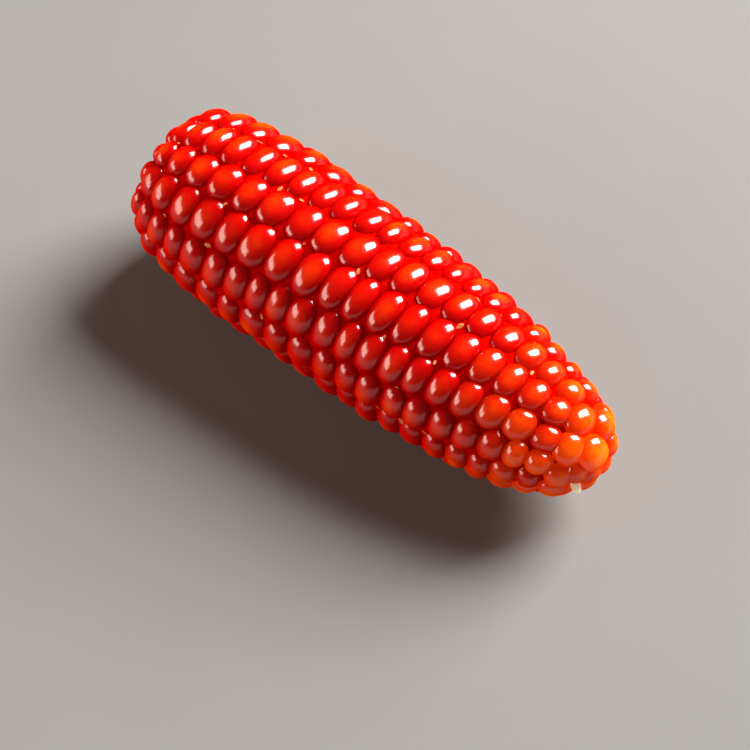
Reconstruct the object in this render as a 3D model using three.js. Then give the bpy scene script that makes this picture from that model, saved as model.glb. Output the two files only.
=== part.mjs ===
// A husked ear of ruby-red flint corn, lying on its side.
// Twelve long rows of kernels wind slowly round the cob from the broad butt to the tapered tip, where
// larger, looser kernels close the end. Pale cob shows in two places: its cut end in the middle of the
// butt's face, and a bit between the last kernels at the tip.
// Millimetres, +Z up. The ear's own axis runs along +X from the butt to the tip and dips a little towards
// the tip. The lowest kernels are pressed flat on the surface at z = 0, and the origin is under the middle.
import * as THREE from "three";
import { ConvexHull } from "three/addons/math/ConvexHull.js";

// The ear as a whole. Lengths x are measured along its axis from the butt's face.
const EAR_LENGTH = 104.2;
const WIDEST_RADIUS = 18.35;
const WIDEST_AT = 28.2;
const BUTT_CURVE = [2.6, 5]; // powers of the outline's curve from the butt to the widest place
const TIP_CURVE = [4, 2.2]; // and from there to the tip
const TIP_TAPER = 0.09; // share of the radius lost evenly from the widest place to the tip
const AXIS_DIP = 1.8; // degrees, tip down
const AXIS_HEIGHT = 17.2; // above the surface, at the middle of the ear's length
const BUTT_AT = -51.7; // the butt's face, from the origin

// The rows of kernels
const ROW_COUNT = 12;
const ROW_ANGLE = 360 / ROW_COUNT;
const FIRST_EDGE = 62.5; // degrees from +Y towards +Z, at the butt
const WINDING = 50; // degrees that a row turns from the butt to the tip
const WINDING_POWER = 1.4; // the rows run straight at first and wind more towards the tip
const KERNEL_DEPTH = 2.6; // from the groove between two rows to a kernel's crown
const CREASE_SHARE = 0.3; // height of the crease between two kernels of one row
const SIDE_FULLNESS = 3; // power of a kernel's side towards the groove: 2 is an ellipse, more is fuller
const FRONT_FULLNESS = 2.6; // and of its front and back towards the creases
const ROWS_BEGIN_RADIUS = 7.6; // the rows begin this far from the middle of the butt's face
const KERNELS_THAT_FIT = 3; // at each end of a row, the kernels that share what length is left
const KERNEL_SHIFT = 0.35; // largest uneven shift of a crease between two kernels of one row

// One line for each row: where along the ear its middle kernel sits and where the row ends, how far apart
// its kernels are towards the butt and towards the tip, and by how many degrees its upper edge strays at
// the butt and at STRAY_MIDDLE_AT.
const ROWS = [
  { middle: 48.0, end: 96.6, toButt: 5.6, toTip: 4.5, strayButt: 12, strayMiddle: 0 },
  { middle: 49.1, end: 96.0, toButt: 4.7, toTip: 4.5, strayButt: 10, strayMiddle: 1 },
  { middle: 52.7, end: 95.4, toButt: 5.6, toTip: 5.2, strayButt: 3, strayMiddle: 0 },
  { middle: 48.7, end: 96.3, toButt: 5.7, toTip: 5.1, strayButt: 0, strayMiddle: 1 },
  { middle: 50.5, end: 97.8, toButt: 5.0, toTip: 4.9, strayButt: -1, strayMiddle: -1 },
  { middle: 52.4, end: 98.4, toButt: 5.6, toTip: 5.0, strayButt: -2, strayMiddle: -4 },
  { middle: 52.3, end: 97.0, toButt: 5.4, toTip: 4.9, strayButt: 1, strayMiddle: 0 },
  { middle: 48.5, end: 96.2, toButt: 5.0, toTip: 5.1, strayButt: 3, strayMiddle: 1 },
  { middle: 51.1, end: 97.2, toButt: 5.3, toTip: 4.8, strayButt: -2, strayMiddle: 2 },
  { middle: 52.7, end: 96.0, toButt: 5.1, toTip: 5.0, strayButt: -3, strayMiddle: -1 },
  { middle: 50.1, end: 97.4, toButt: 5.5, toTip: 4.7, strayButt: 2, strayMiddle: 2 },
  { middle: 51.4, end: 96.8, toButt: 4.9, toTip: 5.0, strayButt: 4, strayMiddle: -1 },
];
const STRAY_MIDDLE_AT = 55.6;

// The kernels over the tip: each has its own place, length and width, and how far it stands past the
// ear's outline.
const TIP_KERNELS = [
  { x: 97.6, angle: 80, length: 5.8, width: 7.8, stands: 1.0 },
  { x: 100.0, angle: 50, length: 6.2, width: 6.6, stands: 1.3 },
  { x: 102.5, angle: 98, length: 7.4, width: 7.2, stands: 1.1 },
  { x: 99.3, angle: 119, length: 6.2, width: 7.2, stands: 0.5 },
  { x: 102.3, angle: 149, length: 5.4, width: 5.8, stands: 0.2 },
  { x: 99.9, angle: 166, length: 5.6, width: 6.4, stands: 0.1 },
  { x: 99.1, angle: 202, length: 6.0, width: 6.6, stands: 0 },
  { x: 98.8, angle: 240, length: 6.0, width: 7.0, stands: 0 },
  { x: 99.5, angle: 277, length: 6.0, width: 6.8, stands: 0.2 },
  { x: 98.8, angle: 314, length: 5.8, width: 6.8, stands: 0.3 },
  { x: 99.3, angle: 347, length: 5.8, width: 6.4, stands: 0.5 },
  { x: 98.4, angle: 18, length: 5.8, width: 6.6, stands: 0.8 },
  { x: 102.5, angle: 258, length: 5.8, width: 5.8, stands: 0 },
  { x: 102.7, angle: 318, length: 5.8, width: 5.6, stands: 0.3 },
  { x: 102.3, angle: 16, length: 5.6, width: 6.0, stands: 0.7 },
];
const TIP_DEPTH = 3; // from the grooves of the tip to the ear's outline
const TIP_PLANE_EDGE = 96.4; // the tip's plane, below, has this length x at its edge
const TIP_FOOT = 1.08; // where a tip kernel's foot lies, as a share of its half length or width
const TIP_ROUNDNESS = 2.4; // power of a tip kernel's side: 2 is an ellipse, more is fuller

// The pale cob
const GAP = 0.3; // between the pale pieces and the ear
const BUTT_RADIUS = 6.4;
const BUTT_CUT_RADIUS = 5.4;
const BUTT_STANDS_OUT = 0.4; // past the butt's face
const BUTT_EDGE = 0.7; // rounding of the cut's edge
const PITH_RADIUS = 2;
const PITH_SINKS = 0.4;
const COB_TIP = { x: 102.4, angle: 212, radius: 1, height: 2.9 };
const PALE_SIDES = 24;

// Spacing of the points that lie in the grooves and creases
const GROOVE_STEP = 1.75;
const ROW_CLEARANCE = 0.5; // of a tip kernel's points past the end of a row
const CREASE_POINTS = [-0.62, -0.21, 0.21, 0.62];

// A kernel's points as shares of its half length and half width: four on its crown, eight on its shoulders.
const KERNEL_POINTS = [
  [0.3, 0.4],
  [-0.3, 0.4],
  [0.3, -0.4],
  [-0.3, -0.4],
  [0.7, 0],
  [-0.7, 0],
  [0, 0.82],
  [0, -0.82],
  [0.62, 0.66],
  [-0.62, 0.66],
  [0.62, -0.66],
  [-0.62, -0.66],
];

// A tip kernel's points lie on rings: each ring's share of the half size, and how many points it has.
const TIP_KERNEL_RINGS = [
  [0.34, 4],
  [0.76, 8],
  [TIP_FOOT, 10],
];

const { degToRad, radToDeg, clamp, euclideanModulo } = THREE.MathUtils;

// The same number between -1 and 1 each time for the same pair.
function uneven(index, salt) {
  const wave = Math.sin(index * 12.9898 + salt * 78.233) * 43758.5453;
  return 2 * (wave - Math.floor(wave)) - 1;
}

// Radius of the ear over its kernels' crowns at a length x.
function crownRadius(x) {
  if (x < WIDEST_AT) {
    const share = (WIDEST_AT - x) / WIDEST_AT;
    return WIDEST_RADIUS * (1 - share ** BUTT_CURVE[0]) ** (1 / BUTT_CURVE[1]);
  }
  const share = Math.min(1, (x - WIDEST_AT) / (EAR_LENGTH - WIDEST_AT));
  return WIDEST_RADIUS * (1 - TIP_TAPER * share) * (1 - share ** TIP_CURVE[0]) ** (1 / TIP_CURVE[1]);
}

// The ear's outline from the middle of the butt to the tip. Each sample has its length x, its radius r,
// its distance along the outline, and its stretch, which is that distance measured in local radii.
const SAMPLES = 1200;
const LEAST_RADIUS = 0.3;
const outline = [{ x: 0, r: 0, along: 0, stretch: 0 }];
for (let i = 1; i <= SAMPLES; i++) {
  const before = outline[i - 1];
  const x = (EAR_LENGTH * (1 - Math.cos((Math.PI * i) / SAMPLES))) / 2;
  const r = crownRadius(x);
  const step = Math.hypot(x - before.x, r - before.r);
  const stretch = before.stretch + step / Math.max(LEAST_RADIUS, (r + before.r) / 2);
  outline.push({ x, r, along: before.along + step, stretch });
}

// The outline where one of its measures has a given value, with its outward direction there.
function outlineAt(measure, value) {
  let low = 0;
  let high = SAMPLES;
  while (high - low > 1) {
    const middle = (low + high) >> 1;
    if (outline[middle][measure] <= value) low = middle;
    else high = middle;
  }
  const a = outline[low];
  const b = outline[high];
  const share = clamp((value - a[measure]) / (b[measure] - a[measure]), 0, 1);
  const blend = (key) => a[key] + (b[key] - a[key]) * share;
  const length = Math.hypot(b.x - a.x, b.r - a.r);
  return {
    x: blend("x"),
    r: blend("r"),
    along: blend("along"),
    stretch: blend("stretch"),
    outX: (a.r - b.r) / length,
    outR: (b.x - a.x) / length,
  };
}

const ROWS_BEGIN = outline.find((sample) => sample.r > ROWS_BEGIN_RADIUS).along;
const MIDDLE = outlineAt("x", EAR_LENGTH / 2);

// Distance along the outline where a row ends.
function rowEnd(row) {
  return outlineAt("x", ROWS[(row + ROW_COUNT) % ROW_COUNT].end).along;
}

// Angle of the upper edge of a row at a distance along the outline.
function edgeAngle(row, along) {
  const { x } = outlineAt("along", along);
  const { strayButt, strayMiddle } = ROWS[(row + ROW_COUNT) % ROW_COUNT];
  const toMiddle = Math.min(1, x / STRAY_MIDDLE_AT);
  const toTip = Math.min(1, (EAR_LENGTH - x) / (EAR_LENGTH - STRAY_MIDDLE_AT));
  const stray = (strayButt * (1 - toMiddle) + strayMiddle * toMiddle) * toTip;
  return FIRST_EDGE + ROW_ANGLE * row - WINDING * (x / EAR_LENGTH) ** WINDING_POWER + stray;
}

// Distances of the creases along one half of a row, from its middle kernel to its end at a distance
// from that kernel's middle. The last few kernels share what length is left.
function halfCreases(toEnd, spacing, salt) {
  const count = Math.round(toEnd / spacing - 0.5);
  const even = count - KERNELS_THAT_FIT;
  const left = (toEnd - (even + 0.5) * spacing) / KERNELS_THAT_FIT;
  const creases = [];
  for (let n = 0; n < count; n++) {
    const distance = n <= even ? (n + 0.5) * spacing : (even + 0.5) * spacing + (n - even) * left;
    creases.push(distance + KERNEL_SHIFT * uneven(n, salt));
  }
  return creases;
}

// Distances along the outline of the creases that part a row's kernels, from the row's start to its end.
function rowCreases(row) {
  const { middle, toButt, toTip } = ROWS[row];
  const centre = outlineAt("x", middle).along;
  const before = halfCreases(centre - ROWS_BEGIN, toButt, row).map((distance) => centre - distance);
  const after = halfCreases(rowEnd(row) - centre, toTip, row + ROW_COUNT).map((distance) => centre + distance);
  return [ROWS_BEGIN, ...before.reverse(), ...after, rowEnd(row)];
}

// Share of a kernel's full height at a place on it: 1 at the crown, 0 in the groove beside its row.
function kernelHeight(lengthwise, crosswise) {
  const side = Math.sqrt(1 - Math.min(1, Math.abs(crosswise)) ** SIDE_FULLNESS);
  const front = Math.sqrt(1 - Math.min(1, Math.abs(lengthwise)) ** FRONT_FULLNESS);
  return side * (CREASE_SHARE + (1 - CREASE_SHARE) * front);
}

// The ear's points: where each lies along and round the ear, and how far below the outline.
const points = [];
function addPoint(along, degrees, below) {
  points.push({ along, angle: degToRad(degrees), below });
}

// A point of a row, at a share of the half width between the row's two edges and a share of its height.
function addRowPoint(row, along, crosswise, height) {
  const before = edgeAngle(row - 1, along);
  const after = edgeAngle(row, along);
  const degrees = (before + after) / 2 + (crosswise * (after - before)) / 2;
  addPoint(along, degrees, KERNEL_DEPTH * (1 - height));
}

// The long rows: kernels, the creases between them, and the groove along each row's upper edge
for (let row = 0; row < ROW_COUNT; row++) {
  const creases = rowCreases(row);
  for (let i = 1; i < creases.length; i++) {
    const centre = (creases[i - 1] + creases[i]) / 2;
    const halfLength = (creases[i] - creases[i - 1]) / 2;
    for (const [lengthwise, crosswise] of KERNEL_POINTS) {
      const height = kernelHeight(lengthwise, crosswise);
      addRowPoint(row, centre + lengthwise * halfLength, crosswise, height);
    }
  }
  for (const crease of creases.slice(1, -1)) {
    for (const crosswise of CREASE_POINTS) addRowPoint(row, crease, crosswise, kernelHeight(1, crosswise));
  }
  const grooveLength = Math.max(rowEnd(row), rowEnd(row + 1)) - ROWS_BEGIN;
  const steps = Math.round(grooveLength / GROOVE_STEP);
  for (let i = 0; i <= steps; i++) addRowPoint(row, ROWS_BEGIN + (grooveLength * i) / steps, 1, 0);
  for (const crosswise of CREASE_POINTS) addRowPoint(row, rowEnd(row), crosswise, 0);
}

// The butt's face inside the first kernels
for (let row = 0; row < ROW_COUNT; row++) {
  addRowPoint(row, ROWS_BEGIN, 0, 0);
  addRowPoint(row, ROWS_BEGIN / 2, 0, 0);
}

// Whether a place at a distance along the outline is past the end of the row that it is in line with.
function isPastRows(along, degrees) {
  for (let row = 0; row < ROW_COUNT; row++) {
    const upperEdge = edgeAngle(row, along);
    const fromEdge = euclideanModulo(upperEdge - degrees, 360);
    if (fromEdge < upperEdge - edgeAngle(row - 1, along)) return along > rowEnd(row) + ROW_CLEARANCE;
  }
  return true;
}

// The tip spread flat: the ear's end is the middle, TIP_PLANE_EDGE is a circle of radius 1, and shapes
// keep their angles.
const planeEdge = outlineAt("x", TIP_PLANE_EDGE);
function onTipPlane(at, degrees) {
  const r = Math.exp(planeEdge.stretch - at.stretch);
  return new THREE.Vector2(r * Math.cos(degToRad(degrees)), r * Math.sin(degToRad(degrees)));
}

// Each tip kernel on that plane: its middle, and its half length and half width as vectors
const tipKernels = TIP_KERNELS.map(({ x, angle, length, width, stands }) => {
  const at = outlineAt("x", x);
  const centre = onTipPlane(at, angle);
  const inward = centre.clone().normalize().negate();
  const planePerMm = centre.length() / at.r;
  return {
    centre,
    halfLength: inward.clone().multiplyScalar((planePerMm * length) / 2),
    halfWidth: new THREE.Vector2(-inward.y, inward.x).multiplyScalar((planePerMm * width) / 2),
    stands,
  };
});

// How far a place on the plane lies from a tip kernel's middle: 1 on its rim.
function shareOut({ centre, halfLength, halfWidth }, place) {
  const offset = place.clone().sub(centre);
  const lengthwise = offset.dot(halfLength) / halfLength.lengthSq();
  const crosswise = offset.dot(halfWidth) / halfWidth.lengthSq();
  return Math.hypot(lengthwise, crosswise);
}

// How high a tip kernel rises over the tip's grooves at a share of the way out to its rim.
function tipHeight(kernel, share) {
  return (TIP_DEPTH + kernel.stands) * Math.sqrt(1 - Math.min(1, share) ** TIP_ROUNDNESS);
}

// Whether a point of a tip kernel at a height would lie inside a neighbour.
function isCovered(kernel, place, height) {
  return tipKernels.some((other) => {
    const share = shareOut(other, place);
    return other !== kernel && share < 1 && tipHeight(other, share) > height;
  });
}

// A tip kernel's crown, shoulders and foot, less the points that a neighbour covers
for (const kernel of tipKernels) {
  for (const [share, count] of TIP_KERNEL_RINGS) {
    for (let i = 0; i < count; i++) {
      const turn = (2 * Math.PI * (i + 0.5)) / count;
      const place = kernel.centre
        .clone()
        .addScaledVector(kernel.halfLength, share * Math.cos(turn))
        .addScaledVector(kernel.halfWidth, share * Math.sin(turn));
      const height = tipHeight(kernel, share);
      const { along } = outlineAt("stretch", planeEdge.stretch - Math.log(place.length()));
      const degrees = radToDeg(Math.atan2(place.y, place.x));
      if (!isPastRows(along, degrees) || isCovered(kernel, place, height)) continue;
      addPoint(along, degrees, TIP_DEPTH - height);
    }
  }
}

// A point's place on the ear. The ear's own frame has its origin at the middle of the axis.
function placeOnEar({ along, angle, below }) {
  const at = outlineAt("along", along);
  const r = Math.max(0, at.r - at.outR * below);
  return new THREE.Vector3(
    at.x - at.outX * below - EAR_LENGTH / 2,
    r * Math.cos(angle),
    r * Math.sin(angle),
  );
}

// The same point on a ball whose poles are the ear's ends. Shapes on the ear keep their angles there.
function placeOnBall({ along, angle }) {
  const stretch = outlineAt("along", along).stretch - MIDDLE.stretch;
  const r = 1 / Math.cosh(stretch);
  return new THREE.Vector3(Math.tanh(stretch), r * Math.cos(angle), r * Math.sin(angle));
}

// The ear's faces join its points in the way that the hull of the same points on the ball does.
function earGeometry() {
  const onBall = points.map(placeOnBall);
  const onEar = points.map(placeOnEar);
  onBall.push(new THREE.Vector3(-1, 0, 0));
  onEar.push(placeOnEar({ along: 0, angle: 0, below: KERNEL_DEPTH }));
  const indexOf = new Map(onBall.map((point, index) => [point, index]));
  const corners = [];
  for (const face of new ConvexHull().setFromPoints(onBall).faces) {
    for (let i = 0; i < 3; i++) corners.push(indexOf.get(face.getEdge(i).head().point));
  }
  const geometry = new THREE.BufferGeometry().setFromPoints(onEar);
  geometry.setIndex(corners);
  return geometry;
}

// The cut end of the cob at the butt, turned about the ear's axis: a short stump with a rounded edge and
// a slightly sunken pith. Its profile runs from the middle of the cut to the middle of its hidden face.
function cobButtGeometry() {
  const face = KERNEL_DEPTH - GAP;
  const profile = [
    [0, PITH_SINKS - BUTT_STANDS_OUT],
    [PITH_RADIUS * 0.8, PITH_SINKS - BUTT_STANDS_OUT],
    [PITH_RADIUS, -BUTT_STANDS_OUT],
    [BUTT_CUT_RADIUS, -BUTT_STANDS_OUT],
    [BUTT_CUT_RADIUS + BUTT_EDGE * 0.7, BUTT_EDGE * 0.3 - BUTT_STANDS_OUT],
    [BUTT_CUT_RADIUS + BUTT_EDGE, BUTT_EDGE - BUTT_STANDS_OUT],
    [BUTT_RADIUS, face / 2],
    [BUTT_RADIUS, face],
    [0, face],
  ];
  const geometry = new THREE.LatheGeometry(
    profile.map(([r, x]) => new THREE.Vector2(r, x)),
    PALE_SIDES,
  );
  geometry.rotateZ(-Math.PI / 2);
  geometry.translate(-EAR_LENGTH / 2, 0, 0);
  return geometry;
}

// The bare end of the cob between the last kernels: a small blunt cone that stands straight out of the ear.
function cobTipGeometry() {
  const { x, angle, radius, height } = COB_TIP;
  const place = { along: outlineAt("x", x).along, angle: degToRad(angle) };
  const foot = placeOnEar({ ...place, below: TIP_DEPTH - GAP });
  const head = placeOnEar({ ...place, below: TIP_DEPTH - GAP - height });
  const profile = [
    [0, 0],
    [radius * 0.8, 0],
    [radius, height * 0.4],
    [radius * 0.85, height * 0.75],
    [radius * 0.45, height * 0.95],
    [0, height],
  ];
  const geometry = new THREE.LatheGeometry(
    profile.map(([r, y]) => new THREE.Vector2(r, y)),
    PALE_SIDES / 2,
  );
  const upright = new THREE.Vector3(0, 1, 0);
  geometry.applyQuaternion(new THREE.Quaternion().setFromUnitVectors(upright, head.sub(foot).normalize()));
  geometry.translate(foot.x, foot.y, foot.z);
  return geometry;
}

// How the ear lies: its axis dips towards the tip.
const lie = new THREE.Matrix4()
  .makeTranslation(BUTT_AT + EAR_LENGTH / 2, 0, AXIS_HEIGHT)
  .multiply(new THREE.Matrix4().makeRotationY(degToRad(AXIS_DIP)));

// The crowns that would reach below the surface are flat on it.
function pressFlat(geometry) {
  const corners = geometry.getAttribute("position");
  for (let i = 0; i < corners.count; i++) corners.setZ(i, Math.max(0, corners.getZ(i)));
  return geometry;
}

const kernelSkin = new THREE.MeshStandardMaterial({ color: 0xb80a08, roughness: 0.2, metalness: 0 });
const dryCob = new THREE.MeshStandardMaterial({ color: 0xe2cf94, roughness: 0.8, metalness: 0 });
const cutCob = new THREE.MeshStandardMaterial({ color: 0xc9a874, roughness: 0.85, metalness: 0 });

const cornCob = new THREE.Group();
for (const [name, geometry, material] of [
  ["ear", pressFlat(earGeometry().applyMatrix4(lie)), kernelSkin],
  ["cob_tip", cobTipGeometry().applyMatrix4(lie), dryCob],
  ["cob_butt", cobButtGeometry().applyMatrix4(lie), cutCob],
]) {
  const mesh = new THREE.Mesh(geometry, material);
  mesh.name = name;
  cornCob.add(mesh);
}

export default cornCob;
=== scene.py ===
import math

import bpy
import numpy as np
from mathutils import Matrix, Vector


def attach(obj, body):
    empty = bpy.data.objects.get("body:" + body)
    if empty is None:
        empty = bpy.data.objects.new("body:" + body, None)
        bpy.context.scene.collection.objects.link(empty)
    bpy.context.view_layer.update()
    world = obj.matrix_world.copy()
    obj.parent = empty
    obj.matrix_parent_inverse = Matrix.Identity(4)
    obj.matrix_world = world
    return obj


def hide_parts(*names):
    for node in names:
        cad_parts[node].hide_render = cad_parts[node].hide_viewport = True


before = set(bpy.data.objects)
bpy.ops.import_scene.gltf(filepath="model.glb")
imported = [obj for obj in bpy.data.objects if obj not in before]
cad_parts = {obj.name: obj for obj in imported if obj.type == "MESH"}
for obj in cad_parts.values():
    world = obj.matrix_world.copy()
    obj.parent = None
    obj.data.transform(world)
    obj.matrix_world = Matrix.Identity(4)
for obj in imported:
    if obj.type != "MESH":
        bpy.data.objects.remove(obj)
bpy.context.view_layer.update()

# ---------------------------------------------------------------------------------------------------
# The cob that carries the kernels. A spindle of chaff and pith, blunt at the butt and tapered to the
# tip, dark red where it shows at the bottom of the grooves, with a faint painted red glow for light that
# comes through the kernels. The ear lies on its side, its axis dipping a little towards the tip. Sizes
# are in millimetres; what is built is in metres.

MM = 0.001
EAR_LENGTH = 104.2
WIDEST_RADIUS = 18.35
WIDEST_AT = 28.2
BUTT_CURVE = (2.6, 5)  # powers of the outline's curve from the butt to the widest place
TIP_CURVE = (4, 2.2)  # and from there to the tip
TIP_TAPER = 0.09  # share of the radius lost evenly from the widest place to the tip
AXIS_DIP = math.radians(1.8)
AXIS_HEIGHT = 17.2  # at the middle of the ear's length
BUTT_AT = -51.7  # the butt's face, from the frame's origin
SAMPLES = 1200


def crown_radius(x):
    """Radius of the ear over its kernels' crowns, at a length from the butt's face."""
    butt = np.clip((WIDEST_AT - x) / WIDEST_AT, 0, 1)
    tip = np.clip((x - WIDEST_AT) / (EAR_LENGTH - WIDEST_AT), 0, 1)
    before = WIDEST_RADIUS * (1 - butt ** BUTT_CURVE[0]) ** (1 / BUTT_CURVE[1])
    after = WIDEST_RADIUS * (1 - TIP_TAPER * tip) * (1 - tip ** TIP_CURVE[0]) ** (1 / TIP_CURVE[1])
    return np.where(x < WIDEST_AT, before, after)


# The outline from the butt to the tip: length, radius, distance along it, and the way out of it
lengths = EAR_LENGTH * (1 - np.cos(np.linspace(0, math.pi, SAMPLES + 1))) / 2
radii = crown_radius(lengths)
steps = np.hypot(np.diff(lengths), np.diff(radii))
along_table = np.concatenate([[0], np.cumsum(steps)])
mid_along = (along_table[1:] + along_table[:-1]) / 2
out_along = -np.diff(radii) / steps
out_across = np.diff(lengths) / steps


def lay_down(x, y, z):
    """A place in the ear's own frame, from the middle of its axis, as it is on the lying ear, in metres."""
    lying = np.stack([
        x * math.cos(AXIS_DIP) + z * math.sin(AXIS_DIP) + BUTT_AT + EAR_LENGTH / 2,
        y,
        np.maximum(0, z * math.cos(AXIS_DIP) - x * math.sin(AXIS_DIP) + AXIS_HEIGHT),
    ], axis=-1)
    return lying * MM


def on_ear(along, degrees, below):
    """Places from a distance along the outline, an angle from +Y towards +Z and a depth."""
    angle = np.radians(degrees)
    out_x = np.interp(along, mid_along, out_along)
    out_r = np.interp(along, mid_along, out_across)
    x = np.interp(along, along_table, lengths) - out_x * below - EAR_LENGTH / 2
    r = np.maximum(0, np.interp(along, along_table, radii) - out_r * below)
    return lay_down(x, r * np.cos(angle), r * np.sin(angle))


def coordinates(mesh):
    flat = np.empty(len(mesh.vertices) * 3)
    mesh.vertices.foreach_get("co", flat)
    return flat.reshape(-1, 3)


def place_vertices(mesh, places):
    mesh.vertices.foreach_set("co", np.asarray(places, dtype=float).ravel())
    mesh.update()


def pick_only(piece):
    bpy.ops.object.select_all(action="DESELECT")
    piece.select_set(True)
    bpy.context.view_layer.objects.active = piece


def finish_piece(piece, name, material, node):
    """Smooth shading, outward faces, a name, a finish, and the piece's place in the frame."""
    pick_only(piece)
    bpy.ops.object.mode_set(mode="EDIT")
    bpy.ops.mesh.select_all(action="SELECT")
    bpy.ops.mesh.normals_make_consistent(inside=False)
    bpy.ops.object.mode_set(mode="OBJECT")
    bpy.ops.object.shade_smooth()
    piece.name = name
    piece.data.name = name
    piece.data.materials.clear()
    piece.data.materials.append(material)
    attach(piece, "root")
    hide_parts(node)


class Finish:
    """A material or a shader node group that is put together node by node."""

    def __init__(self, tree):
        self.nodes, self.links = tree.nodes, tree.links

    def feed(self, socket, value):
        if isinstance(value, bpy.types.NodeSocket):
            self.links.new(value, socket)
        elif isinstance(value, (int, float)):
            socket.default_value = value
        else:
            socket.default_value = (*value, 1)

    def noise(self, where, scale, detail=3.0):
        """A noise of a scale per metre over the piece."""
        node = self.nodes.new("ShaderNodeTexNoise")
        node.inputs["Detail"].default_value = detail
        self.feed(node.inputs["Scale"], scale)
        self.links.new(where, node.inputs["Vector"])
        return node.outputs["Fac"]

    def math(self, operation, a, b):
        node = self.nodes.new("ShaderNodeMath")
        node.operation = operation
        self.feed(node.inputs[0], a)
        self.feed(node.inputs[1], b)
        return node.outputs["Value"]

    def span(self, value, low, high, to_low=0.0, to_high=1.0):
        """The value between low and high, as a value between to_low and to_high."""
        node = self.nodes.new("ShaderNodeMapRange")
        node.inputs["From Min"].default_value = low
        node.inputs["From Max"].default_value = high
        node.inputs["To Min"].default_value = to_low
        node.inputs["To Max"].default_value = to_high
        self.links.new(value, node.inputs["Value"])
        return node.outputs["Result"]

    def mix(self, share, a, b):
        """A mix of two colours, all a at a share of 0 and all b at 1."""
        node = self.nodes.new("ShaderNodeMix")
        node.data_type = "RGBA"
        first_colour, second_colour = node.inputs[6:8]
        self.feed(node.inputs["Factor"], share)
        self.feed(first_colour, a)
        self.feed(second_colour, b)
        return node.outputs[2]

    def bump(self, height, distance):
        node = self.nodes.new("ShaderNodeBump")
        node.inputs["Distance"].default_value = distance
        self.links.new(height, node.inputs["Height"])
        return node.outputs["Normal"]

    def group(self, tree, where, **values):
        """A node group in this material, with the place that it reads and its own values."""
        node = self.nodes.new("ShaderNodeGroup")
        node.node_tree = tree
        self.links.new(where, node.inputs["Where"])
        for name, value in values.items():
            self.feed(node.inputs[name.replace("_", " ")], value)
        return node.outputs


def new_material(name):
    material = bpy.data.materials.new(name)
    material.use_nodes = True
    finish = Finish(material.node_tree)
    shader = finish.nodes["Principled BSDF"].inputs
    return material, finish, shader, finish.nodes.new("ShaderNodeTexCoord").outputs["Object"]


def new_group(name, inputs, outputs):
    tree = bpy.data.node_groups.new(name, "ShaderNodeTree")
    for label, kind in inputs:
        tree.interface.new_socket(label, in_out="INPUT", socket_type=kind)
    for label, kind in outputs:
        tree.interface.new_socket(label, in_out="OUTPUT", socket_type=kind)
    finish = Finish(tree)
    given = finish.nodes.new("NodeGroupInput").outputs
    result = finish.nodes.new("NodeGroupOutput").inputs
    return tree, finish, given, result


# The flesh of kernels and cob alike is a little cloudy, and its skin very slightly uneven
flesh_clouds, finish, given, result = new_group(
    "flesh_clouds",
    [("Where", "NodeSocketVector"), ("Cloud Scale", "NodeSocketFloat"), ("Grain Scale", "NodeSocketFloat")],
    [("Cloud", "NodeSocketFloat"), ("Grain", "NodeSocketFloat")],
)
finish.links.new(finish.noise(given["Where"], given["Cloud Scale"], 2), result["Cloud"])
finish.links.new(finish.noise(given["Where"], given["Grain Scale"], 3), result["Grain"])

# How far red, green and blue light spreads in the flesh, as shares of its reach
LIGHT_SPREADS = (1.0, 0.06, 0.02)

groove_red_painted_glow, finish, shader, where = new_material("groove_red_painted_glow")
flesh = finish.group(flesh_clouds, where, Cloud_Scale=900, Grain_Scale=2600)
finish.links.new(
    finish.mix(finish.span(flesh["Cloud"], 0.3, 0.7), (0.4, 0.0, 0.0), (0.6, 0.002, 0.0)),
    shader["Base Color"],
)
finish.links.new(finish.span(flesh["Grain"], 0, 1, 0.4, 0.6), shader["Roughness"])
finish.links.new(finish.bump(flesh["Grain"], 0.0002), shader["Normal"])
shader["Specular IOR Level"].default_value = 0
shader["Subsurface Weight"].default_value = 1
shader["Subsurface Radius"].default_value = LIGHT_SPREADS
shader["Subsurface Scale"].default_value = 0.003
# Painted glow: a faint red emission that stands in for light coming through the kernels into the cob
shader["Emission Color"].default_value = (1, 0, 0, 1)
shader["Emission Strength"].default_value = 0.05

CORE_BELOW = 1.9  # from the ear's outline
CORE_SINKS_AT_ENDS = 0.8
CORE_SIDES = 72
CORE_RINGS = 56

bpy.ops.object.select_all(action="DESELECT")
bpy.ops.mesh.primitive_uv_sphere_add(segments=CORE_SIDES, ring_count=CORE_RINGS, radius=1)
core = bpy.context.object
ball = coordinates(core.data)
polar = np.arccos(np.clip(-ball[:, 2], -1, 1))
core_along = polar / math.pi * along_table[-1]
core_angle = np.degrees(np.arctan2(ball[:, 1], ball[:, 0]))
sinks_at_ends = CORE_SINKS_AT_ENDS * (1 - np.sin(polar)) ** 4
place_vertices(core.data, on_ear(core_along, core_angle, CORE_BELOW + sinks_at_ends))
finish_piece(core, "cob_core", groove_red_painted_glow, "ear")

# ---------------------------------------------------------------------------------------------------
# The kernels of the long rows. Each is a plump glassy bead set in the cob, wider across its row than
# along it, and pressed against its neighbours. One is modelled, and its copies are fitted between the
# edges of their row and the creases before and after them.

ROW_COUNT = 12
ROW_ANGLE = 360 / ROW_COUNT
FIRST_EDGE = 62.5  # degrees from +Y towards +Z, at the butt
WINDING = 50  # degrees that a row turns from the butt to the tip
WINDING_POWER = 1.4  # the rows run straight at first and wind more towards the tip
STRAY_MIDDLE_AT = 55.6
ROWS_BEGIN_RADIUS = 7.6  # the rows begin this far from the middle of the butt's face
KERNELS_THAT_FIT = 3  # at each end of a row, the kernels that share what length is left
KERNEL_SHIFT = 0.35  # largest uneven shift of a crease between two kernels of one row
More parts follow.
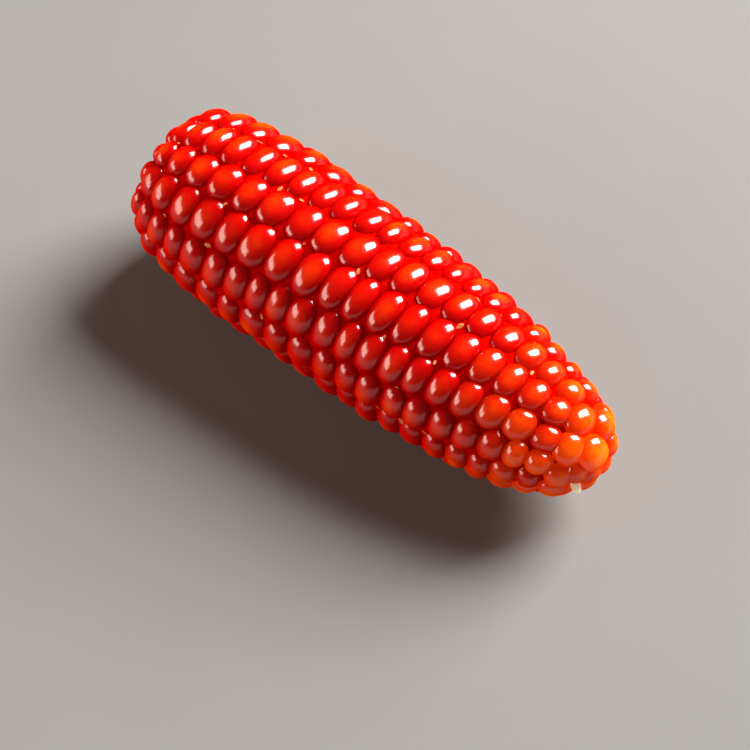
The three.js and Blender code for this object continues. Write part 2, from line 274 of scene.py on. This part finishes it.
# For each row: where its middle kernel sits and where the row ends, the spacing towards the butt and
# towards the tip, and how many degrees its upper edge strays at the butt and in the middle.
ROWS = [
    (48.0, 96.6, 5.6, 4.5, 12, 0),
    (49.1, 96.0, 4.7, 4.5, 10, 1),
    (52.7, 95.4, 5.6, 5.2, 3, 0),
    (48.7, 96.3, 5.7, 5.1, 0, 1),
    (50.5, 97.8, 5.0, 4.9, -1, -1),
    (52.4, 98.4, 5.6, 5.0, -2, -4),
    (52.3, 97.0, 5.4, 4.9, 1, 0),
    (48.5, 96.2, 5.0, 5.1, 3, 1),
    (51.1, 97.2, 5.3, 4.8, -2, 2),
    (52.7, 96.0, 5.1, 5.0, -3, -1),
    (50.1, 97.4, 5.5, 4.7, 2, 2),
    (51.4, 96.8, 4.9, 5.0, 4, -1),
]
rows_begin = float(along_table[np.argmax(radii > ROWS_BEGIN_RADIUS)])


def along_at_length(x):
    return float(np.interp(x, lengths, along_table))


def uneven(index, salt):
    """The same number between -1 and 1 each time for the same pair."""
    wave = math.sin(index * 12.9898 + salt * 78.233) * 43758.5453
    return 2 * (wave - math.floor(wave)) - 1


def edge_angle(row, along):
    """Angle of the upper edge of a row at distances along the outline."""
    x = np.interp(along, along_table, lengths)
    stray_butt, stray_middle = ROWS[row % ROW_COUNT][4:]
    to_middle = np.minimum(1, x / STRAY_MIDDLE_AT)
    to_tip = np.minimum(1, (EAR_LENGTH - x) / (EAR_LENGTH - STRAY_MIDDLE_AT))
    stray = (stray_butt * (1 - to_middle) + stray_middle * to_middle) * to_tip
    return FIRST_EDGE + ROW_ANGLE * row - WINDING * (x / EAR_LENGTH) ** WINDING_POWER + stray


def half_creases(to_end, spacing, salt):
    """Creases along one half of a row, from its middle kernel; the last kernels share what is left."""
    count = math.floor(to_end / spacing)
    even = count - KERNELS_THAT_FIT
    left = (to_end - (even + 0.5) * spacing) / KERNELS_THAT_FIT
    creases = []
    for n in range(count):
        distance = (n + 0.5) * spacing if n <= even else (even + 0.5) * spacing + (n - even) * left
        creases.append(distance + KERNEL_SHIFT * uneven(n, salt))
    return creases


def row_creases(row):
    """Distances along the outline of the creases that part a row's kernels."""
    middle, end, to_butt, to_tip = ROWS[row][:4]
    centre, end = along_at_length(middle), along_at_length(end)
    before = [centre - distance for distance in half_creases(centre - rows_begin, to_butt, row)]
    after = [centre + distance for distance in half_creases(end - centre, to_tip, row + ROW_COUNT)]
    return [rows_begin, *reversed(before), *after, end]


# One kernel: a cube cut into three each way and rounded, then drawn in towards its root and a little
# towards its crown. The cage stands outside the smooth bead that the subdivision makes of it, so it is
# let out until the bead fills -1..1.
ROOT_NARROWS = 0.84
CROWN_NARROWS = 0.9
CAGE_LET_OUT = 1.115
LENGTHWISE_POWER = 1.12

bpy.ops.object.select_all(action="DESELECT")
bpy.ops.mesh.primitive_cube_add(size=2)
kernel = bpy.context.object
bpy.ops.object.mode_set(mode="EDIT")
bpy.ops.mesh.select_all(action="SELECT")
bpy.ops.mesh.subdivide(number_cuts=2)
bpy.ops.transform.tosphere(value=1)
bpy.ops.object.mode_set(mode="OBJECT")
cage = coordinates(kernel.data)
cage /= np.abs(cage).max(axis=0)
cage[:, 0] = np.sign(cage[:, 0]) * np.abs(cage[:, 0]) ** LENGTHWISE_POWER
cage[:, :2] *= np.interp(cage[:, 2], [-1, 0, 1], [ROOT_NARROWS, 1, CROWN_NARROWS])[:, None]
bead_shape = cage.copy()
cage *= CAGE_LET_OUT


def copy_kernel(places, tone, tipness):
    """A copy of the kernel with its vertices at places, and the marks that its colour reads."""
    bead = kernel.copy()
    bead.data = kernel.data.copy()
    bpy.context.collection.objects.link(bead)
    place_vertices(bead.data, places)
    marks = {
        "rise": (bead_shape[:, 2] + 1) / 2,
        "lengthwise": bead_shape[:, 0],
        "crosswise": bead_shape[:, 1],
        "tone": np.full(len(cage), tone),
        "tipness": np.full(len(cage), tipness),
    }
    for name, values in marks.items():
        mark = bead.data.attributes.new(name, "FLOAT", "POINT")
        mark.data.foreach_set("value", values.astype(np.float32))
    return bead


def join(parts):
    pick_only(parts[0])
    for part in parts:
        part.select_set(True)
    bpy.ops.object.join()
    return parts[0]


def smooth(piece, levels):
    """The piece with its faces divided and rounded."""
    pick_only(piece)
    bpy.ops.object.modifier_add(type="SUBSURF")
    smoothing = piece.modifiers[-1]
    smoothing.levels = levels
    smoothing.render_levels = levels
    bpy.ops.object.modifier_apply(modifier=smoothing.name)
    return piece


# Clear red flesh that looks lit from inside, partly by light spreading in it and partly by painted light:
# an orange heart in some kernels, partly their own orange flesh and partly a painted glow; painted
# brighter red and a faint painted red glow down the flanks; and a waxy gloss on the crown that dies away
# in the creases
ruby_kernel, finish, shader, where = new_material("ruby_kernel")


def mark(name):
    node = finish.nodes.new("ShaderNodeAttribute")
    node.attribute_name = name
    return node.outputs["Fac"]


rise, tone, tipness = mark("rise"), mark("tone"), mark("tipness")
flesh = finish.group(flesh_clouds, where, Cloud_Scale=260, Grain_Scale=900)
plan = finish.nodes.new("ShaderNodeCombineXYZ")
finish.links.new(mark("lengthwise"), plan.inputs["X"])
finish.links.new(mark("crosswise"), plan.inputs["Y"])
from_heart = finish.nodes.new("ShaderNodeVectorMath")
from_heart.operation = "LENGTH"
finish.links.new(plan.outputs["Vector"], from_heart.inputs[0])
# The orange heart is partly the kernel's own orange flesh and partly a painted glow of light passing
# through it; the skin is also painted brighter red towards each kernel's centre
heart = finish.span(from_heart.outputs["Value"], 0.95, 0.15)
glow = finish.math(
    "MULTIPLY",
    finish.span(heart, 0.4, 1.0),
    finish.span(finish.mix(0.6, tone, flesh["Cloud"]), 0.3, 0.75, 0.05, 1.0),
)
red = finish.mix(heart, (0.5, 0.0, 0.0), (0.68, 0.003, 0.0))
red = finish.mix(glow, red, (1.0, 0.045, 0.0))
orange = finish.mix(finish.span(heart, 0.1, 0.9), (0.85, 0.02, 0.0), (1.0, 0.15, 0.0))
# Painted light: the flanks down into the creases are painted brighter red, standing in for light that
# passes through the kernels into the creases
flank_painted_light = finish.span(rise, 0.78, 0.5)
crown = finish.mix(tipness, red, orange)
skin = finish.mix(flank_painted_light, crown, finish.mix(tipness, (0.68, 0.0, 0.0), (1.0, 0.06, 0.0)))
finish.links.new(skin, shader["Base Color"])
finish.links.new(finish.span(flesh["Grain"], 0.3, 0.7, 0.24, 0.32), shader["Roughness"])
finish.links.new(finish.bump(flesh["Grain"], 0.00004), shader["Normal"])
shader["IOR"].default_value = 1.45
shader["Specular IOR Level"].default_value = 0
shader["Subsurface Weight"].default_value = 1
shader["Subsurface Radius"].default_value = LIGHT_SPREADS
shader["Subsurface Scale"].default_value = 0.006
turned_away = finish.nodes.new("ShaderNodeLayerWeight")
turned_away.inputs["Blend"].default_value = 0.5
wax = finish.math(
    "MULTIPLY",
    finish.span(rise, 0.5, 0.85, 0.05, 1.0),
    finish.span(turned_away.outputs["Facing"], 0.2, 0.64, 1.0, 0.03),
)
finish.links.new(wax, shader["Coat Weight"])
shader["Coat Roughness"].default_value = 0.15
shader["Coat IOR"].default_value = 1.7
# Painted glow: a faint red emission on the flanks and a stronger orange one in the tip kernels, for light
# that comes through the kernels
painted_glow = finish.mix(tipness, finish.mix(flank_painted_light, (0, 0, 0), (0.06, 0, 0)), (0.6, 0.055, 0))
finish.links.new(painted_glow, shader["Emission Color"])
shader["Emission Strength"].default_value = 0.5

CROWN_BELOW = 0.14  # from the ear's outline down to the highest crowns
HALF_DEPTH = 2.6
DEEPEST_SET = 0.5  # how much lower the crown of the deepest kernel lies
PRESSED_ALONG = 1.06  # how far a kernel reaches, as a share of the room it has
PRESSED_ACROSS = 1.08
LEAN = 0.12
# The rows turn orange, and take on a painted orange glow, from this length on, over this stretch, and on
# average by this share at its end
ORANGE_FROM = 76
ORANGE_OVER = 20
ORANGE_IN_ROWS = 0.3
# Salts, to which the row is added, that keep what is uneven about one kernel from going together
LEANS, SETS, TONES, ORANGES = 40, 80, 120, 160

for row in range(ROW_COUNT):
    creases = row_creases(row)
    beads = []
    for n in range(len(creases) - 1):
        centre = (creases[n] + creases[n + 1]) / 2
        half_length = (creases[n + 1] - creases[n]) / 2
        lean = LEAN * uneven(n, LEANS + row)
        along = centre + (cage[:, 0] * PRESSED_ALONG + lean * cage[:, 2]) * half_length
        before, after = edge_angle(row - 1, along), edge_angle(row, along)
        angle = (before + after) / 2 + cage[:, 1] * PRESSED_ACROSS * (after - before) / 2
        sunk = DEEPEST_SET * (1 + uneven(n, SETS + row)) / 2
        below = CROWN_BELOW + HALF_DEPTH - (HALF_DEPTH - sunk) * cage[:, 2]
        tone = (1 + uneven(n, TONES + row)) / 2
        to_tip = np.clip((np.interp(centre, along_table, lengths) - ORANGE_FROM) / ORANGE_OVER, 0, 1)
        tipness = ORANGE_IN_ROWS * to_tip * (1 + uneven(n, ORANGES + row))
        beads.append(copy_kernel(on_ear(along, angle, below), tone, tipness))
    finish_piece(smooth(join(beads), 1), f"kernel_row_{row + 1:02d}", ruby_kernel, "ear")

# ---------------------------------------------------------------------------------------------------
# The kernels that close the tip. With no neighbour beyond them they are rounder and larger, and more
# of the orange heart shows through, with a painted orange glow for light coming through them. The last
# in the list sits low, over the very end of the cob.

TIP_DEPTH = 3.0  # from the ear's outline down to the feet of the tip's kernels
TIP_PLANE_EDGE = 96.4
CROWN_SHARE = 0.95
EQUATOR = 0.3  # height of a kernel's widest place, as a share of its whole height
LEAST_RADIUS = 0.3
TIP_TONES = 7
# Place along and round the ear, length, width, how far it stands past the outline, how orange it is
# and how strong its painted orange glow is
TIP_KERNELS = [
    (97.6, 80, 5.8, 7.8, 0.6, 0.45),
    (100.0, 50, 6.4, 7.0, 1.3, 0.6),
    (102.5, 97, 7.6, 7.6, 1.1, 1.0),
    (99.3, 119, 6.2, 7.2, 0.5, 0.65),
    (102.3, 149, 5.4, 6.0, 0.2, 0.3),
    (99.9, 166, 5.6, 6.4, 0.1, 0.45),
    (99.1, 202, 6.0, 6.6, 0, 0.5),
    (98.8, 240, 6.0, 7.0, 0, 0.7),
    (99.5, 277, 6.0, 6.8, 0.2, 0.4),
    (98.8, 314, 5.8, 6.8, 0.3, 0.6),
    (99.3, 347, 5.8, 6.4, 0.5, 0.5),
    (98.4, 18, 5.8, 6.6, 0.8, 0.6),
    (102.5, 258, 5.8, 5.8, 0, 0.8),
    (102.7, 318, 5.8, 5.6, 0.3, 0.9),
    (102.3, 16, 5.6, 6.0, 0.7, 0.7),
    (104.1, 212, 5.8, 6.2, -0.5, 0.4),
]
# The distance along the outline in local radii, so that shapes keep their form when it is spread flat
mean_radii = np.maximum(LEAST_RADIUS, (radii[1:] + radii[:-1]) / 2)
stretch_table = np.concatenate([[0], np.cumsum(steps / mean_radii)])
edge_stretch = float(np.interp(TIP_PLANE_EDGE, lengths, stretch_table))


def to_tip_plane(along, degrees):
    """The tip spread flat, with its end in the middle and TIP_PLANE_EDGE as a circle of radius 1."""
    r = math.exp(edge_stretch - np.interp(along, along_table, stretch_table))
    return Vector((r * math.cos(math.radians(degrees)), r * math.sin(math.radians(degrees))))


beads = []
for n, (x, degrees, length, width, stands, orange_share) in enumerate(TIP_KERNELS):
    along = along_at_length(x)
    centre = to_tip_plane(along, degrees)
    per_mm = centre.length / np.interp(along, along_table, radii)
    inward = -centre.normalized()
    across = Vector((-inward.y, inward.x))
    plane_x = centre.x + (inward.x * cage[:, 0] * length + across.x * cage[:, 1] * width) * per_mm / 2
    plane_y = centre.y + (inward.y * cage[:, 0] * length + across.y * cage[:, 1] * width) * per_mm / 2
    bead_along = np.interp(edge_stretch - np.log(np.hypot(plane_x, plane_y)), stretch_table, along_table)
    height = (TIP_DEPTH + stands) * CROWN_SHARE * (EQUATOR + (1 - EQUATOR) * bead_shape[:, 2])
    places = on_ear(bead_along, np.degrees(np.arctan2(plane_y, plane_x)), TIP_DEPTH - height)
    beads.append(copy_kernel(places, (1 + uneven(n, TIP_TONES)) / 2, orange_share))
finish_piece(smooth(join(beads), 2), "tip_kernels", ruby_kernel, "ear")
bpy.data.objects.remove(kernel)

# ---------------------------------------------------------------------------------------------------
# Chaff. Papery scales, about a millimetre long, that stay caught between the rows where kernels meet.
# One is modelled, a cupped oval with its edges turned up, and its copies lie each its own way.

# Dry plant fibre, pale and dark by turns along its grain
dry_fibre, finish, given, result = new_group(
    "dry_fibre",
    [
        ("Where", "NodeSocketVector"),
        ("Scale", "NodeSocketFloat"),
        ("Dark", "NodeSocketColor"),
        ("Pale", "NodeSocketColor"),
    ],
    [("Color", "NodeSocketColor"), ("Grain", "NodeSocketFloat")],
)
drawn_out = finish.nodes.new("ShaderNodeVectorMath")
drawn_out.operation = "MULTIPLY"
drawn_out.inputs[1].default_value = (0.25, 1, 1)
finish.links.new(given["Where"], drawn_out.inputs[0])
grain = finish.noise(drawn_out.outputs["Vector"], given["Scale"], 5)
finish.links.new(finish.mix(finish.span(grain, 0.35, 0.65), given["Dark"], given["Pale"]), result["Color"])
finish.links.new(grain, result["Grain"])

chaff_straw, finish, shader, where = new_material("chaff_straw")
fibre = finish.group(dry_fibre, where, Scale=3000, Dark=(0.62, 0.12, 0.03), Pale=(0.9, 0.34, 0.12))
finish.links.new(fibre["Color"], shader["Base Color"])
finish.links.new(finish.span(fibre["Grain"], 0, 1, 0.5, 0.8), shader["Roughness"])
finish.links.new(finish.bump(fibre["Grain"], 0.0001), shader["Normal"])
shader["Specular IOR Level"].default_value = 0.3

SCALE_LENGTH = 1.2
SCALE_WIDTH = 0.6
SCALE_SIDES = 10
SCALE_RIM = 0.45
SCALE_THICKNESS = 0.1
SCALE_CUP = 0.1
SCALES_FROM = 0.25  # a crease has a scale where its own uneven number is above this
SCALE_BELOW = 1.65
SCALE_BELOW_VARIES = 0.15
SCALE_SIZE_VARIES = 0.35
SCALE_TILT = 0.6
HAS_SCALE, DEPTHS, TURNS, TILTS, SCALE_SIZES = 200, 240, 280, 320, 360

bpy.ops.object.select_all(action="DESELECT")
bpy.ops.mesh.primitive_circle_add(vertices=SCALE_SIDES, radius=1, fill_type="NGON")
scale = bpy.context.object
bpy.ops.object.mode_set(mode="EDIT")
bpy.ops.mesh.select_all(action="SELECT")
bpy.ops.mesh.inset(thickness=SCALE_RIM)
bpy.ops.transform.translate(value=(0, 0, -SCALE_CUP))
bpy.ops.object.mode_set(mode="OBJECT")
bpy.ops.object.modifier_add(type="SOLIDIFY")
scale.modifiers[-1].thickness = SCALE_THICKNESS
bpy.ops.object.modifier_apply(modifier=scale.modifiers[-1].name)
scale_shape = coordinates(scale.data) * (SCALE_LENGTH / 2, SCALE_WIDTH / 2, 1)

scales = []
for row in range(ROW_COUNT):
    for n, crease in enumerate(row_creases(row)[1:-1]):
        if uneven(n, HAS_SCALE + row) < SCALES_FROM:
            continue
        edge = float(edge_angle(row, crease))
        spot = on_ear(crease, edge, SCALE_BELOW + SCALE_BELOW_VARIES * uneven(n, DEPTHS + row))
        outward = Vector(on_ear(crease, edge, 0) - on_ear(crease, edge, 1)).normalized()
        lengthwise = Vector(on_ear(crease + 0.5, edge, 1) - on_ear(crease - 0.5, edge, 1)).normalized()
        turn = Matrix.Rotation(math.pi * uneven(n, TURNS + row), 3, outward)
        tilt = Matrix.Rotation(SCALE_TILT * uneven(n, TILTS + row), 3, lengthwise)
        first = tilt @ turn @ lengthwise
        third = tilt @ outward
        second = third.cross(first)
        size = 1 + SCALE_SIZE_VARIES * uneven(n, SCALE_SIZES + row)
        flake = scale.copy()
        flake.data = scale.data.copy()
        bpy.context.collection.objects.link(flake)
        place_vertices(flake.data, spot + scale_shape @ np.array([first, second, third]) * size * MM)
        scales.append(flake)
finish_piece(join(scales), "chaff_scales", chaff_straw, "ear")
bpy.data.objects.remove(scale)

# ---------------------------------------------------------------------------------------------------
# The bare end of the cob between the last kernels: a blunt nub of pale chaff and pith, ribbed along
# its length, that tapers as it comes out of the ear.

COB_TIP_AT = (102.4, 212)
COB_TIP_RADIUS = 0.95
COB_TIP_HEIGHT = 2.5
COB_TIP_GAP = 0.3
COB_TIP_SIDES = 14
COB_TIP_RIBBING = 0.09
COB_TIP_FOOT = (0.01, 0.85)
# Share of the nub's height at which its foot and each ring lie, and their share of the radius
COB_TIP_RINGS = ((0.35, 1.0), (0.6, 0.94), (0.8, 0.78), (0.93, 0.5), (1.0, 0.2))


def edit_top_face(piece):
    """Starts editing the piece with only its top face picked."""
    pick_only(piece)
    bpy.ops.object.mode_set(mode="EDIT")
    bpy.ops.mesh.select_mode(type="FACE")
    bpy.ops.mesh.select_all(action="DESELECT")
    bpy.ops.object.mode_set(mode="OBJECT")
    for face in piece.data.polygons:
        face.select = face.normal.z > 0.5
    bpy.ops.object.mode_set(mode="EDIT")


# The nub is given a painted glow in its own fibre colour, standing in for light that comes through its
# thin fibre, so that it reads bright though it lies in shade
dry_cob, finish, shader, where = new_material("dry_cob")
fibre = finish.group(dry_fibre, where, Scale=2200, Dark=(0.88, 0.72, 0.4), Pale=(1.0, 0.95, 0.72))
finish.links.new(fibre["Color"], shader["Base Color"])
finish.links.new(fibre["Color"], shader["Emission Color"])
shader["Emission Strength"].default_value = 0.35
finish.links.new(finish.span(fibre["Grain"], 0, 1, 0.65, 0.9), shader["Roughness"])
finish.links.new(finish.bump(fibre["Grain"], 0.0003), shader["Normal"])

bpy.ops.object.select_all(action="DESELECT")
reached, width = COB_TIP_FOOT
bpy.ops.mesh.primitive_cylinder_add(vertices=COB_TIP_SIDES, radius=width, depth=2 * reached)
nub = bpy.context.object
edit_top_face(nub)
for share, ring in COB_TIP_RINGS:
    bpy.ops.mesh.extrude_region_move(TRANSFORM_OT_translate={"value": (0, 0, share - reached)})
    bpy.ops.transform.resize(value=(ring / width, ring / width, 1))
    reached, width = share, ring
bpy.ops.object.mode_set(mode="OBJECT")
nub_shape = coordinates(nub.data)
rib = 1 + COB_TIP_RIBBING * np.cos(np.arctan2(nub_shape[:, 1], nub_shape[:, 0]) * COB_TIP_SIDES / 2)
nub_shape[:, :2] *= rib[:, None] * COB_TIP_RADIUS
nub_shape[:, 2] *= COB_TIP_HEIGHT
along = along_at_length(COB_TIP_AT[0])
foot = on_ear(along, COB_TIP_AT[1], TIP_DEPTH - COB_TIP_GAP)
way_out = Vector(on_ear(along, COB_TIP_AT[1], 0) - foot).normalized()
place_vertices(nub.data, foot + nub_shape @ np.array(way_out.to_track_quat("Z", "Y").to_matrix()).T * MM)
finish_piece(smooth(nub, 2), "cob_nub", dry_cob, "cob_tip")

# ---------------------------------------------------------------------------------------------------
# The cut end of the cob in the middle of the butt. A stump sawn off straight, its edge worn round: a
# ring of woody fibre with a soft pith inside it that has dried and sunk.

BUTT_RADIUS = 6.1
BUTT_STANDS_OUT = 0.4
BUTT_REACHES_IN = 2.3
BUTT_EDGE = 0.6
BUTT_EDGE_ROUNDING = 0.15
BUTT_STAINED_EDGE = 1.6
PITH_RADIUS = 2
PITH_SINKS = 0.4
PITH_EDGE = 0.25
PITH_EDGE_BLENDS = 0.3
PITH_BOTTOM_EDGE = 1
BUTT_SIDES = 48

cut_cob, finish, shader, where = new_material("cut_cob")
from_axis = finish.nodes.new("ShaderNodeMapping")
from_axis.vector_type = "TEXTURE"
from_axis.inputs["Location"].default_value = ((BUTT_AT + EAR_LENGTH / 2) * MM, 0, AXIS_HEIGHT * MM)
from_axis.inputs["Rotation"].default_value = (0, AXIS_DIP, 0)
finish.links.new(where, from_axis.inputs["Vector"])
face_plan = finish.nodes.new("ShaderNodeVectorMath")
face_plan.operation = "MULTIPLY"
face_plan.inputs[1].default_value = (0, 1, 1)
finish.links.new(from_axis.outputs["Vector"], face_plan.inputs[0])
out_from_middle = finish.nodes.new("ShaderNodeVectorMath")
out_from_middle.operation = "LENGTH"
finish.links.new(face_plan.outputs["Vector"], out_from_middle.inputs[0])
radius = out_from_middle.outputs["Value"]
cut_face = face_plan.outputs["Vector"]
fibre = finish.group(dry_fibre, cut_face, Scale=1400, Dark=(0.3, 0.14, 0.05), Pale=(0.74, 0.52, 0.28))
pith = finish.group(dry_fibre, where, Scale=2600, Dark=(0.62, 0.46, 0.28), Pale=(0.9, 0.8, 0.6))
ragged = finish.math("ADD", radius, finish.span(fibre["Grain"], 0, 1, -0.0006, 0.0006))
in_pith = finish.span(ragged, PITH_RADIUS * MM, (PITH_RADIUS - PITH_EDGE_BLENDS) * MM)
near_edge = finish.span(ragged, (BUTT_RADIUS - BUTT_STAINED_EDGE) * MM, BUTT_RADIUS * MM)
wood = finish.mix(near_edge, fibre["Color"], (0.32, 0.03, 0.012))
finish.links.new(finish.mix(in_pith, wood, pith["Color"]), shader["Base Color"])
shader["Roughness"].default_value = 0.85
finish.links.new(finish.bump(fibre["Grain"], 0.0004), shader["Normal"])

bpy.ops.object.select_all(action="DESELECT")
depth = BUTT_STANDS_OUT + BUTT_REACHES_IN
bpy.ops.mesh.primitive_cylinder_add(vertices=BUTT_SIDES, radius=BUTT_RADIUS, depth=depth)
stump = bpy.context.object
edit_top_face(stump)
bpy.ops.mesh.inset(thickness=BUTT_EDGE)
bpy.ops.mesh.inset(thickness=BUTT_RADIUS - BUTT_EDGE - PITH_RADIUS)
bpy.ops.mesh.inset(thickness=PITH_EDGE)
bpy.ops.transform.translate(value=(0, 0, -PITH_SINKS))
bpy.ops.mesh.inset(thickness=PITH_BOTTOM_EDGE)
bpy.ops.object.mode_set(mode="OBJECT")
stump_shape = coordinates(stump.data)
outside = np.hypot(stump_shape[:, 0], stump_shape[:, 1]) > BUTT_RADIUS - BUTT_EDGE / 2
stump_shape[outside & (stump_shape[:, 2] > 0), 2] -= BUTT_EDGE
middle_x = -EAR_LENGTH / 2 - BUTT_STANDS_OUT + depth / 2
place_vertices(stump.data, lay_down(middle_x - stump_shape[:, 2], stump_shape[:, 1], stump_shape[:, 0]))
pick_only(stump)
bpy.ops.object.modifier_add(type="BEVEL")
rounding = stump.modifiers[-1]
rounding.width = BUTT_EDGE_ROUNDING * MM
rounding.segments = 2
rounding.limit_method = "ANGLE"
bpy.ops.object.modifier_apply(modifier=rounding.name)
finish_piece(stump, "cut_butt", cut_cob, "cob_butt")

# ---------------------------------------------------------------------------------------------------
# The pale surface that the ear lies on, matt and very slightly cloudy. It lies a hair below the lowest
# crowns, and it isn't part of the ear.

FLOOR_SIZE = 3
FLOOR_DROP = 0.00002

bpy.ops.object.select_all(action="DESELECT")
bpy.ops.mesh.primitive_plane_add(size=FLOOR_SIZE, location=(0, 0, -FLOOR_DROP))
floor = bpy.context.object
floor.name = "floor"
floor_paint, finish, shader, where = new_material("pale_floor")
finish.links.new(
    finish.mix(finish.noise(where, 40), (0.195, 0.192, 0.186), (0.205, 0.202, 0.196)),
    shader["Base Color"],
)
shader["Roughness"].default_value = 0.9
floor.data.materials.append(floor_paint)

# ---------------------------------------------------------------------------------------------------
# Light and camera. A soft key from behind and above, a low warm panel at the front left, and a faint
# even fill.


def area_light(name, toward, distance, width, height, power, colour):
    light = bpy.data.lights.new(name, "AREA")
    light.shape = "RECTANGLE"
    light.size, light.size_y = width, height
    light.energy = power
    light.color = colour
    lamp = bpy.data.objects.new(name, light)
    bpy.context.collection.objects.link(lamp)
    direction = Vector(toward).normalized()
    lamp.location = direction * distance + Vector((0, 0, AXIS_HEIGHT * MM))
    lamp.rotation_euler = direction.to_track_quat("Z", "Y").to_euler()


area_light("key", (0.20, 0.74, 0.64), 1.2, 0.7, 0.9, 53, (1, 0.97, 0.93))
area_light("side", (-0.68, -0.68, 0.22), 0.8, 0.8, 0.34, 5.2, (1, 0.82, 0.7))

world = bpy.data.worlds.new("studio")
bpy.context.scene.world = world
world.use_nodes = True
backdrop = world.node_tree.nodes["Background"].inputs
backdrop["Color"].default_value = (0.9, 0.85, 0.8, 1)
backdrop["Strength"].default_value = 0.035

AZIMUTH = math.radians(40.28)
ELEVATION = math.radians(55.7)
CAMERA_DISTANCE = 0.4999
CAMERA_AIM = Vector((0.0007, 0, AXIS_HEIGHT * MM))
SENSOR_WIDTH = 36
FOCAL_LENGTH = 131.47
SLIDE_LEFT = 0.00098
SLIDE_DOWN = 0.01113

back = Vector((
    math.sin(AZIMUTH) * math.cos(ELEVATION),
    -math.cos(AZIMUTH) * math.cos(ELEVATION),
    math.sin(ELEVATION),
))
right = Vector((math.cos(AZIMUTH), math.sin(AZIMUTH), 0))
up = back.cross(right)
place = CAMERA_AIM + back * CAMERA_DISTANCE - right * SLIDE_LEFT - up * SLIDE_DOWN
camera_data = bpy.data.cameras.new("camera")
camera_data.sensor_width = SENSOR_WIDTH
camera_data.lens = FOCAL_LENGTH
camera = bpy.data.objects.new("camera", camera_data)
bpy.context.collection.objects.link(camera)
camera.matrix_world = Matrix((
    (right.x, up.x, back.x, place.x),
    (right.y, up.y, back.y, place.y),
    (right.z, up.z, back.z, place.z),
    (0, 0, 0, 1),
))
bpy.context.scene.camera = camera
bpy.context.scene.view_settings.view_transform = "Standard"
